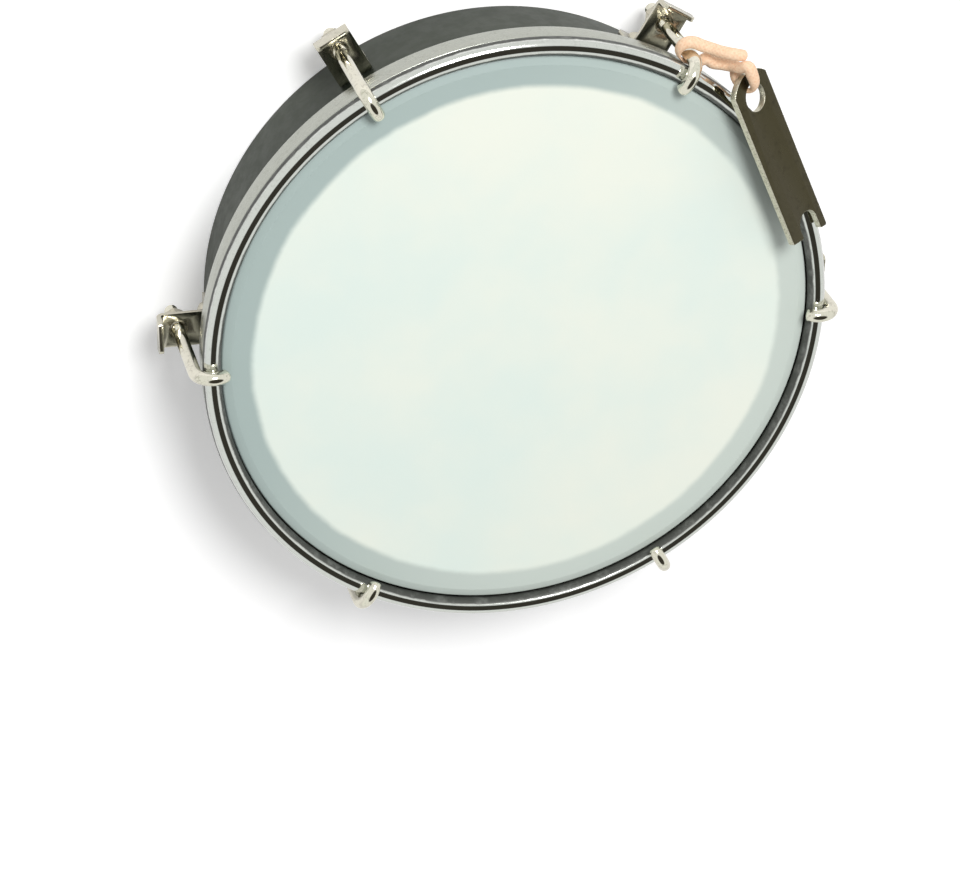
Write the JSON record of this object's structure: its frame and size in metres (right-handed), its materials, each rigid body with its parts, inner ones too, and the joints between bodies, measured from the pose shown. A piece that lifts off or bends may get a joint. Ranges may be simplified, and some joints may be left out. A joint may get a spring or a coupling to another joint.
{
  "type": "tamborim",
  "caption": "Small handheld frame drum with a steel shell, a plastic head held by a round hoop on hooks with nuts, and a tuning key tied on a cord",
  "frame": {"origin": "on the shell's axis, at its open back edge, which the drum stands on", "axes": "+Z along the drum's axis towards the head, +X through a lug, with the key's cord tied at the lug 60 degrees anticlockwise from it"},
  "size_m": [0.1834, 0.1678, 0.0542],
  "materials": {
    "shell": "satin dark grey",
    "drumhead": "whitened film with a clearer ring at its edge",
    "flesh_hoop": "satin plated",
    "counter_hoop": "bright plated rod",
    "bracket": "bright nickel plated",
    "rivet": "bright nickel plated",
    "hook": "bright nickel plated",
    "nut": "plated",
    "key": "plated strip, dark where it mirrors the room",
    "cord": "soft peach cord"
  },
  "bodies": {
    "drum": {"shell": "shell", "drumhead": "drumhead", "flesh_hoop": "flesh_hoop", "counter_hoop": "counter_hoop", "lug_bracket_1": "bracket", "lug_bracket_2": "bracket", "lug_bracket_3": "bracket", "lug_bracket_4": "bracket", "lug_bracket_5": "bracket", "lug_bracket_6": "bracket", "bracket_rivet_1": "rivet", "bracket_rivet_2": "rivet", "bracket_rivet_3": "rivet", "bracket_rivet_4": "rivet", "bracket_rivet_5": "rivet", "bracket_rivet_6": "rivet"},
    "nut_1": {"hook_nut_1": "nut"},
    "hook_1": {"tension_hook_1": "hook"},
    "nut_2": {"hook_nut_2": "nut"},
    "hook_2": {"tension_hook_2": "hook"},
    "nut_3": {"hook_nut_3": "nut"},
    "hook_3": {"tension_hook_3": "hook"},
    "nut_4": {"hook_nut_4": "nut"},
    "hook_4": {"tension_hook_4": "hook"},
    "nut_5": {"hook_nut_5": "nut"},
    "hook_5": {"tension_hook_5": "hook"},
    "nut_6": {"hook_nut_6": "nut"},
    "hook_6": {"tension_hook_6": "hook"},
    "key": {"tuning_key": "key", "key_cord": "cord"}
  },
  "joints": [
    {"name": "nut_1_turn", "type": "hinge", "parent": "drum", "child": "nut_1", "pos_m": [0.08603, 0, 0.0149], "axis": [0, 0, -1], "range_deg": [0, 1800]},
    {"name": "hook_1_slide", "type": "slide", "parent": "drum", "child": "hook_1", "axis": [0, 0, 1], "range_m": [0, 0.0035]},
    {"name": "nut_2_turn", "type": "hinge", "parent": "drum", "child": "nut_2", "pos_m": [0.04301, 0.0745, 0.0149], "axis": [0, 0, -1], "range_deg": [0, 1800]},
    {"name": "hook_2_slide", "type": "slide", "parent": "drum", "child": "hook_2", "axis": [0, 0, 1], "range_m": [0, 0.0035]},
    {"name": "nut_3_turn", "type": "hinge", "parent": "drum", "child": "nut_3", "pos_m": [-0.04301, 0.0745, 0.0149], "axis": [0, 0, -1], "range_deg": [0, 1800]},
    {"name": "hook_3_slide", "type": "slide", "parent": "drum", "child": "hook_3", "axis": [0, 0, 1], "range_m": [0, 0.0035]},
    {"name": "nut_4_turn", "type": "hinge", "parent": "drum", "child": "nut_4", "pos_m": [-0.08603, 0, 0.0149], "axis": [0, 0, -1], "range_deg": [0, 1800]},
    {"name": "hook_4_slide", "type": "slide", "parent": "drum", "child": "hook_4", "axis": [0, 0, 1], "range_m": [0, 0.0035]},
    {"name": "nut_5_turn", "type": "hinge", "parent": "drum", "child": "nut_5", "pos_m": [-0.04301, -0.0745, 0.0149], "axis": [0, 0, -1], "range_deg": [0, 1800]},
    {"name": "hook_5_slide", "type": "slide", "parent": "drum", "child": "hook_5", "axis": [0, 0, 1], "range_m": [0, 0.0035]},
    {"name": "nut_6_turn", "type": "hinge", "parent": "drum", "child": "nut_6", "pos_m": [0.04301, -0.0745, 0.0149], "axis": [0, 0, -1], "range_deg": [0, 1800]},
    {"name": "hook_6_slide", "type": "slide", "parent": "drum", "child": "hook_6", "axis": [0, 0, 1], "range_m": [0, 0.0035]},
    {"name": "key_swing", "type": "hinge", "parent": "drum", "child": "key", "pos_m": [0.04301, 0.0745, 0.0424], "axis": [0, 0, 1], "range_deg": [0, 100], "deforming": ["key_cord"]}
  ],
  "couplings": [
    {"joint": "nut_1_turn", "follows": "hook_1_slide", "rad_per_m": 8976},
    {"joint": "nut_2_turn", "follows": "hook_2_slide", "rad_per_m": 8976},
    {"joint": "nut_3_turn", "follows": "hook_3_slide", "rad_per_m": 8976},
    {"joint": "nut_4_turn", "follows": "hook_4_slide", "rad_per_m": 8976},
    {"joint": "nut_5_turn", "follows": "hook_5_slide", "rad_per_m": 8976},
    {"joint": "nut_6_turn", "follows": "hook_6_slide", "rad_per_m": 8976}
  ]
}
